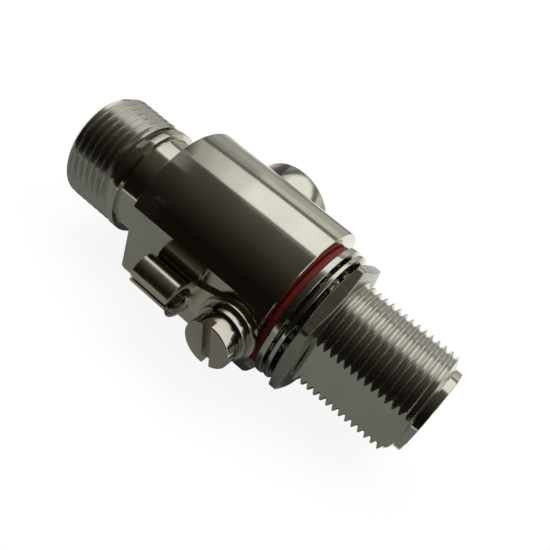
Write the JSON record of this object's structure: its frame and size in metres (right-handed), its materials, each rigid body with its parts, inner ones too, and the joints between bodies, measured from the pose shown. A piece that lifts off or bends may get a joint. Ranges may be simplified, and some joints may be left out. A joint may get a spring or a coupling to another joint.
{
  "type": "coax lightning arrestor",
  "caption": "Coaxial lightning arrestor for a bulkhead: a threaded jack at each end of a round barrel, a gas-tube cap on one side and a ground screw with crimp lug on a flat.",
  "frame": {"origin": "middle of the barrel's panel-seating face, on the connector's axis", "axes": "+X along the threaded shank towards the bulkhead jack, +Y out through the gas tube's cap, -Y out through the ground screw, +Z completes the right-handed frame"},
  "size_m": [0.0581, 0.0291, 0.0232],
  "materials": {
    "nickel": "bright nickel plate on brass, finely turned",
    "washer_nickel": "nickel-plated stamped steel",
    "tinned": "tin-plated stamped copper, satin",
    "silicone": "red silicone rubber, matte",
    "seal_rubber": "black rubber",
    "ptfe": "white fluoropolymer",
    "gold": "gold-plated contact metal",
    "ceramic": "white alumina ceramic"
  },
  "bodies": {
    "arrestor": {"body": "nickel", "line_jack": "nickel", "center_pin": "gold", "socket_line": "gold", "socket_bulkhead": "gold", "insulator_line": "ptfe", "insulator_bulkhead": "ptfe", "panel_gasket": "silicone"},
    "panel_washers": {"panel_washer": "washer_nickel", "tooth_washer": "washer_nickel"},
    "nut": {"hex_nut": "nickel"},
    "gas_tube": {"gas_tube_inner_electrode": "washer_nickel", "gas_tube_ceramic": "ceramic", "gas_tube_outer_electrode": "washer_nickel", "cap_spring": "washer_nickel"},
    "cap": {"gas_cap": "nickel", "cap_seal": "seal_rubber"},
    "ground_washers": {"flat_washer": "washer_nickel", "spring_washer": "washer_nickel"},
    "ground_screw": {"ground_screw": "nickel"},
    "lug": {"ground_lug": "tinned"}
  },
  "joints": [
    {"name": "washers_travel", "type": "slide", "parent": "arrestor", "child": "panel_washers", "axis": [1, 0, 0], "range_m": [0, 0.01482]},
    {"name": "nut_turn", "type": "hinge", "parent": "panel_washers", "child": "nut", "pos_m": [0.0046, 0, 0], "axis": [1, 0, 0], "range_deg": [0, 5040]},
    {"name": "gas_tube_travel", "type": "slide", "parent": "arrestor", "child": "gas_tube", "axis": [0, 1, 0], "range_m": [0, 0.0035]},
    {"name": "cap_turn", "type": "hinge", "parent": "gas_tube", "child": "cap", "pos_m": [-0.0126, 0.011, 0], "axis": [0, 1, 0], "range_deg": [0, 1260]},
    {"name": "ground_washers_travel", "type": "slide", "parent": "arrestor", "child": "ground_washers", "axis": [0, -1, 0], "range_m": [0, 0.0035]},
    {"name": "ground_screw_turn", "type": "hinge", "parent": "ground_washers", "child": "ground_screw", "pos_m": [-0.00365, -0.0136, 0], "axis": [0, -1, 0], "range_deg": [0, 1800]},
    {"name": "lug_swing", "type": "hinge", "parent": "arrestor", "child": "lug", "pos_m": [-0.00365, -0.01045, 0], "axis": [0, -1, 0], "range_deg": [-85, 85]}
  ],
  "couplings": [
    {"joint": "nut_turn", "follows": "washers_travel", "rad_per_m": 5936.9},
    {"joint": "cap_turn", "follows": "gas_tube_travel", "rad_per_m": 6283.2},
    {"joint": "ground_screw_turn", "follows": "ground_washers_travel", "rad_per_m": 8976}
  ]
}
